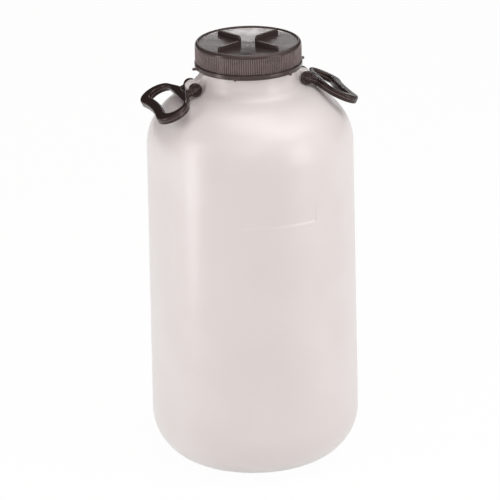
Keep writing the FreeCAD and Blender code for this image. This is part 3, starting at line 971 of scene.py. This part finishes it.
def fin(sizes):
    """Upright grip fin, sunk into the plate of the dish."""
    rim = cap_levels(sizes)[-1]
    top = rim + sizes.fin_stand
    foot = rim - sizes.dish_depth - sizes.dish_plate / 2
    outer, inner = sizes.fin_outer, sizes.fin_inner
    outer_round, inner_round = 5 * MM, 7 * MM
    outline = [(outer, foot)]
    outline += swept((outer - outer_round, top - outer_round), outer_round, 0, pi / 2, 8)
    outline += swept((inner + inner_round, top - inner_round), inner_round, pi / 2, pi, 10)
    outline.append((inner, foot))
    return prism("fin", outline, sizes.fin_thickness, 0.8 * MM)


def pad_and_peg(sizes):
    """Raised pad on the lower band with a short blunt peg."""
    face = sizes.radius + sizes.collar_stand + sizes.pad_stand
    back = cap_levels(sizes)[0] - 2 * MM
    edge = 0.8 * MM
    low, high = CAP_BOTTOM + edge, CAP_BOTTOM + sizes.collar_height - edge
    pad = prism("pad", [(back, low), (face, low), (face, high), (back, high)],
                sizes.pad_width, 0.7 * MM)
    tip, reach = sizes.peg_reach, sizes.peg_radius
    peg = rod("peg", [(back, reach), (tip - 0.5 * reach, reach), (tip - 0.2 * reach, 0.86 * reach),
                      (tip, 0.5 * reach)], CAP_BOTTOM + sizes.peg_rise)
    return joined("pad_and_peg", [pad, peg])


# ---- shapes of a handle ----------------------------------------------------------------------
def closed_outline(half, dent, radius):
    """Half an outline run on along the round about dent, and its mirror image."""
    last = atan2(half[-1][1], half[-1][0] - dent)
    half = half + swept((dent, 0.0), radius, last, pi, 8)[1:]
    return half + [(u, -v) for u, v in half[-2::-1]]


def handle_outer(sizes):
    """Outer outline of a handle: straight near side, flanks, round corners, hollow grip side."""
    dent = sizes.reach + sizes.dent
    side = sizes.half_width - sizes.corner
    along = dent - sqrt((sizes.dent + sizes.corner) ** 2 - side ** 2)
    back = Vector((sizes.back_edge, sizes.back_flat))
    to_corner = Vector((along, side)) - back
    swing = atan2(sizes.corner, sqrt(to_corner.length ** 2 - sizes.corner ** 2))
    heading = atan2(to_corner.y, to_corner.x) + swing
    start = heading + pi / 2
    end = atan2(-side, dent - along)
    half = [tuple(back)] + swept((along, side), sizes.corner, start, end, 24)
    return closed_outline(half, dent, sizes.dent)


def handle_inner(sizes):
    """Hand opening: straight near side, round ends and a grip side that swells inward."""
    dent = sizes.reach + sizes.dent
    radius = sizes.dent + sizes.bar
    side = sizes.half_width - sizes.side - sizes.opening_corner
    along = dent - sqrt((radius + sizes.opening_corner) ** 2 - side ** 2)
    half = swept((along, side), sizes.opening_corner, pi, atan2(-side, dent - along), 24)
    return closed_outline(half, dent, radius)


def handle_field(sizes, lug_width):
    """Field of one handle about its pivot: u out along the handle, v across, w square to it."""
    outer, inner = handle_outer(sizes), handle_inner(sizes)
    half = sizes.depth / 2
    near = lug_width / 2 + sizes.arm_gap
    far = near + sizes.arm_thickness
    link_end, link_half = sizes.back_edge + 6 * MM, half - MM
    link = [(0.0, -link_half), (link_end, -link_half), (link_end, link_half), (0.0, link_half)]
    overlap, soft = 0.5 * MM, 1.5 * MM

    def field(u, v, w):
        flat = np.maximum(outline_distance(u, v, outer), -outline_distance(u, v, inner))
        ring = thickened(flat, w, half, sizes.edge_round)
        off = np.abs(v) - (near + far) / 2
        middle = np.hypot(u, w)
        knob = thickened(middle - sizes.knob_radius, off, sizes.arm_thickness / 2,
                         sizes.knob_round)
        groove = np.hypot(middle - sizes.ring_radius, np.abs(v) - far) - sizes.ring_width
        knob = cut(knob, groove, 0.5 * MM)
        arm = thickened(outline_distance(u, w, link), off, sizes.arm_thickness / 2, soft)
        whole = blended(blended(knob, arm, soft), ring, sizes.blend)
        pin_middle = near - sizes.pin_length / 2 + overlap
        pin = thickened(middle - sizes.pin_radius, np.abs(v) - pin_middle,
                        sizes.pin_length / 2 + overlap, 0.4 * MM)
        return np.minimum(whole, pin)

    return field


# ---- operators -------------------------------------------------------------------------------
class BOTTLE_OT_shell(bpy.types.Operator):
    """Blow-moulded body with its shallow front recess and mould seam"""
    bl_idname = "bottle.shell"
    bl_label = "Bottle body"

    def execute(self, context):
        model = context.scene.bottle_model
        sizes = model.bottle
        material = milky_material(model.finish)
        values = {name.replace("_", " ").title(): getattr(sizes, name) for name in (
            "recess_turn", "recess_bottom", "recess_height", "recess_depth", "recess_edge",
            "recess_sill", "seam_height", "seam_width")}
        mesh = turned("bottle_shell", body_outline(sizes), body_angles(sizes), material,
                      Widest=sizes.wall_radius + sizes.foot_flare, **values)
        finished("bottle_shell", mesh, "bottle", "bottle", material)
        return {"FINISHED"}


class BOTTLE_OT_lugs(bpy.types.Operator):
    """Two lugs with their stops, moulded onto the shoulder"""
    bl_idname = "bottle.lugs"
    bl_label = "Handle lugs"

    def execute(self, context):
        model = context.scene.bottle_model
        lugs = model.lugs
        margin, step = 2 * MM, 0.9 * MM
        # From inside the neck to past the stop, and from inside the shoulder to over the web
        low = (66 * MM, -24 * MM, PIVOT.z - 44 * MM)
        high = (PIVOT.x + 36 * MM, 24 * MM, PIVOT.z + 26 * MM)
        field = clipped(lug_field(model.bottle, lugs, model.handle.slope, model.handle.depth / 2),
                        [a + margin for a in low], [b - margin for b in high])
        material = milky_material(model.finish)
        for name, half_turns in (("lug_right", 0), ("lug_left", 1)):
            mesh = drawn(name, field, low, high, step)
            mesh.transform(Matrix.Rotation(half_turns * pi, 4, "Z"))
            finished(name, mesh, "bottle", "bottle", material)
        return {"FINISHED"}


class BOTTLE_OT_cap(bpy.types.Operator):
    """Screw cap: dished top, rounded edge, skirt and plain lower band"""
    bl_idname = "bottle.cap"
    bl_label = "Cap"

    def execute(self, context):
        model = context.scene.bottle_model
        sizes = model.cap
        material = cap_material(model)
        angles = [2 * pi * k / sizes.columns for k in range(sizes.columns + 1)]
        mesh = turned("cap_shell", rounded(cap_outline(sizes), 3), angles, material)
        finished("cap_shell", mesh, "bottle", "cap", material)
        return {"FINISHED"}


class BOTTLE_OT_cap_grips(bpy.types.Operator):
    """What repeats around the cap: grip ribs, upright fins and pads with pegs"""
    bl_idname = "bottle.cap_grips"
    bl_label = "Cap ribs, fins and pegs"

    def execute(self, context):
        model = context.scene.bottle_model
        sizes = model.cap
        material = cap_material(model)
        for name, piece, number, first in (
                ("cap_ribs", grip_rib(sizes), sizes.rib_count, 0.0),
                ("cap_fins", fin(sizes), sizes.fin_count, sizes.fin_turn),
                ("cap_pegs", pad_and_peg(sizes), sizes.peg_count, 0.0)):
            mesh = around(name, piece, number, first, material)
            finished(name, mesh, "bottle", "cap", material)
        return {"FINISHED"}


class BOTTLE_OT_handles(bpy.types.Operator):
    """The two carry handles, resting on their stops"""
    bl_idname = "bottle.handles"
    bl_label = "Carry handles"

    def execute(self, context):
        model = context.scene.bottle_model
        sizes = model.handle
        material = handle_material(model)
        field = handle_field(sizes, model.lugs.width)
        margin, corners_past = 3 * MM, 15 * MM
        side, round_knob = sizes.half_width + margin, sizes.knob_radius + margin
        low = (-round_knob, -side, -round_knob)
        high = (sizes.reach + corners_past, side, round_knob)
        for name, half_turns in (("handle_right", 0), ("handle_left", 1)):
            mesh = drawn(name + "_grip", field, low, high, sizes.voxel)
            mesh.transform(Matrix.Rotation(half_turns * pi, 4, "Z") @ Matrix.Translation(PIVOT)
                           @ Matrix.Rotation(sizes.slope, 4, "Y"))
            finished(name + "_grip", mesh, name, name, material)
        return {"FINISHED"}


class BOTTLE_OT_studio(bpy.types.Operator):
    """Pale floor, soft panels of light and the camera"""
    bl_idname = "bottle.studio"
    bl_label = "Studio"

    def execute(self, context):
        studio = context.scene.bottle_model.studio
        scene = context.scene
        scene.view_settings.view_transform = "Standard"
        far = 30.0
        floor = placed("floor", mesh_of("floor", [
            (-far, -far, 0), (far, -far, 0), (far, far, 0), (-far, far, 0)], [(0, 1, 2, 3)]))
        floor.data.materials.append(floor_material())
        room(scene, studio)

        target = Vector((0, 0, studio.lamp_height))
        for name, setting, azimuth, elevation, distance, width, height in PANELS:
            softbox(name, direction(radians(azimuth), radians(elevation)), distance, width,
                    height, getattr(studio, setting), target)

        data = bpy.data.cameras.new("camera")
        camera = placed("camera", data)
        data.sensor_width = 36.0
        data.lens = studio.lens / MM
        data.shift_x, data.shift_y = -0.00517, 0.02676
        data.clip_end = 100.0
        back = direction(studio.azimuth, studio.elevation)
        middle = Vector((0, 0, studio.look_height))
        camera.matrix_world = (facing(middle, back, studio.distance)
                               @ Matrix.Rotation(-studio.lean, 4, "Z"))
        scene.camera = camera
        return {"FINISHED"}


def direction(azimuth, elevation):
    """Unit vector from the bottle towards a camera or lamp; azimuth 0 is in front of it."""
    return Vector((sin(azimuth) * cos(elevation), -cos(azimuth) * cos(elevation),
                   sin(elevation)))


def facing(target, back, distance):
    """Place and turn of a camera or lamp that looks at a target from a distance."""
    return (Matrix.Translation(target + back * distance)
            @ (-back).to_track_quat("-Z", "Y").to_matrix().to_4x4())


def softbox(name, back, distance, width, height, brightness, target):
    """A rectangular lamp whose face has a given brightness."""
    data = bpy.data.lights.new(name, "AREA")
    data.shape = "RECTANGLE"
    data.size, data.size_y = width, height
    data.energy = brightness * pi * width * height
    placed(name, data).matrix_world = facing(target, back, distance)


def floor_material():
    """White floor, to the camera and in what is mirrored, that still takes a faint shadow."""
    material = bpy.data.materials.new("studio_floor")
    tree = emptied(material)
    path = add(tree, "ShaderNodeLightPath").outputs
    seen = maths(tree, "MAXIMUM", path["Is Camera Ray"], path["Is Glossy Ray"])
    seen = maths(tree, "MAXIMUM", seen, path["Is Transmission Ray"])
    matte = add(tree, "ShaderNodeBsdfDiffuse", {"Color": (0.9, 0.9, 0.9, 1.0)})
    glow = add(tree, "ShaderNodeEmission", {"Color": (*WHITE, 1.0), "Strength": 1.0})
    plain = 0.97     # part of the floor's white that takes no shadow
    whole = add(tree, "ShaderNodeMixShader", {0: maths(tree, "MULTIPLY", seen, plain),
                                              1: matte.outputs[0], 2: glow.outputs[0]})
    add(tree, "ShaderNodeOutputMaterial", {"Surface": whole.outputs[0]})
    return material


def room(scene, studio):
    """Soft rosy light from in front and matt fill from behind; the camera sees it as white."""
    world = bpy.data.worlds.new("room")
    tree = emptied(world)
    away = parts_of_place(tree, "Generated")["Y"]
    path = add(tree, "ShaderNodeLightPath").outputs
    camera_ray = path["Is Camera Ray"]
    fill = maths(tree, "MULTIPLY", path["Is Diffuse Ray"], studio.behind)
    front_ends, back_starts = -0.5, 0.4
    strength = eased(tree, away, front_ends, back_starts, studio.room, fill)
    strength = maths(tree, "MAXIMUM", strength, camera_ray)
    shader = add(tree, "ShaderNodeBackground", {
        "Color": mixed(tree, camera_ray, ROSY_LIGHT, WHITE), "Strength": strength})
    add(tree, "ShaderNodeOutputWorld", {"Surface": shader.outputs[0]})
    scene.world = world


class BOTTLE_PT_panel(bpy.types.Panel):
    """Lists the pieces of the bottle with their sizes"""
    bl_idname = "BOTTLE_PT_panel"
    bl_label = "Barrel bottle"
    bl_space_type = "VIEW_3D"
    bl_region_type = "UI"
    bl_category = "Bottle"

    def draw(self, context):
        layout = self.layout
        for operator in OPERATORS:
            layout.operator(operator.bl_idname)
        for name, group in GROUPS.items():
            box = layout.box()
            box.label(text=name.capitalize())
            for prop in group.__annotations__:
                box.prop(getattr(context.scene.bottle_model, name), prop)


OPERATORS = (BOTTLE_OT_shell, BOTTLE_OT_lugs, BOTTLE_OT_cap, BOTTLE_OT_cap_grips,
             BOTTLE_OT_handles, BOTTLE_OT_studio)
CLASSES = (*GROUPS.values(), BottleModel, *OPERATORS, BOTTLE_PT_panel)


def register():
    for item in CLASSES:
        bpy.utils.register_class(item)
    bpy.types.Scene.bottle_model = bpy.props.PointerProperty(type=BottleModel)


def unregister():
    del bpy.types.Scene.bottle_model
    for item in reversed(CLASSES):
        bpy.utils.unregister_class(item)


def main():
    register()
    bpy.ops.bottle.shell()
    bpy.ops.bottle.lugs()
    bpy.ops.bottle.cap()
    bpy.ops.bottle.cap_grips()
    bpy.ops.bottle.handles()
    bpy.ops.bottle.studio()


if __name__ == "__main__":
    main()
